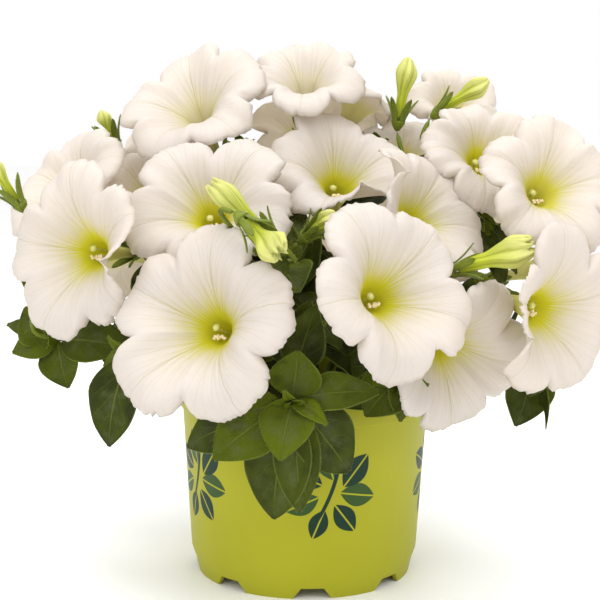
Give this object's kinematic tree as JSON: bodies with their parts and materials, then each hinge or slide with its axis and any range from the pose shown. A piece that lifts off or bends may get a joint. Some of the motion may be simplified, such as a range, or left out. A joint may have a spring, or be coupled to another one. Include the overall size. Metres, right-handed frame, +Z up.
{
  "type": "potted petunia",
  "caption": "Bushy potted petunia: cream trumpet flowers with yellow-green throats and furled buds over dark green leafy shoots, in a tapered lime plastic grower's pot.",
  "frame": {"origin": "centre of the pot's foot, on the plane it stands on, at the pot's axis", "axes": "+Z up along the pot's axis; -Y is the front, the side that the picture shows; +X is the plant's right as the viewer sees it"},
  "size_m": [0.2899, 0.2764, 0.2589],
  "materials": {
    "lime_plastic": "satin lime-green moulded polypropylene",
    "potting_mix": "damp peat and fibre, crumbly and matt",
    "leaf_green": "matt hairy green leaf and stem",
    "petal_cream": "matt cream petal with a lemon throat and fine green-yellow veins",
    "bud_green": "matt furled bud, yellow-green with a cream tip"
  },
  "bodies": {
    "root": {"pot": "lime_plastic", "soil": "potting_mix", "shoot_front": "leaf_green", "shoot_front_left": "leaf_green", "shoot_left": "leaf_green", "shoot_back_left": "leaf_green", "shoot_back": "leaf_green", "shoot_back_right": "leaf_green", "shoot_right": "leaf_green", "shoot_front_right": "leaf_green", "shoot_upper_left": "leaf_green", "shoot_upper_front": "leaf_green", "shoot_upper_right": "leaf_green", "shoot_crown": "leaf_green", "shoot_upper_back": "leaf_green", "bloom_front_left": "petal_cream", "bloom_front_right": "petal_cream", "bloom_left": "petal_cream", "bloom_right": "petal_cream", "bloom_low_right": "petal_cream", "bloom_upper_right": "petal_cream", "bloom_centre": "petal_cream", "bloom_behind_right": "petal_cream", "bloom_middle": "petal_cream", "bloom_mid_left": "petal_cream", "bloom_top_right": "petal_cream", "bloom_top_left": "petal_cream", "bloom_top": "petal_cream", "bloom_crown": "petal_cream", "bloom_high_right": "petal_cream", "bloom_heart": "petal_cream", "bloom_far_left": "petal_cream", "bloom_back_left": "petal_cream", "bloom_side_left": "petal_cream", "bloom_back_a": "petal_cream", "bloom_back_b": "petal_cream", "bloom_back_c": "petal_cream", "bloom_back_d": "petal_cream", "bloom_back_e": "petal_cream", "bloom_back_f": "petal_cream", "bud_upright": "bud_green", "bud_high_right": "bud_green", "bud_right": "bud_green", "bud_long": "bud_green", "bud_pale": "bud_green", "bud_small": "bud_green", "bud_left_high": "bud_green", "bud_left_edge": "bud_green", "bud_back": "bud_green", "bud_back_left": "bud_green"}
  },
  "joints": []
}
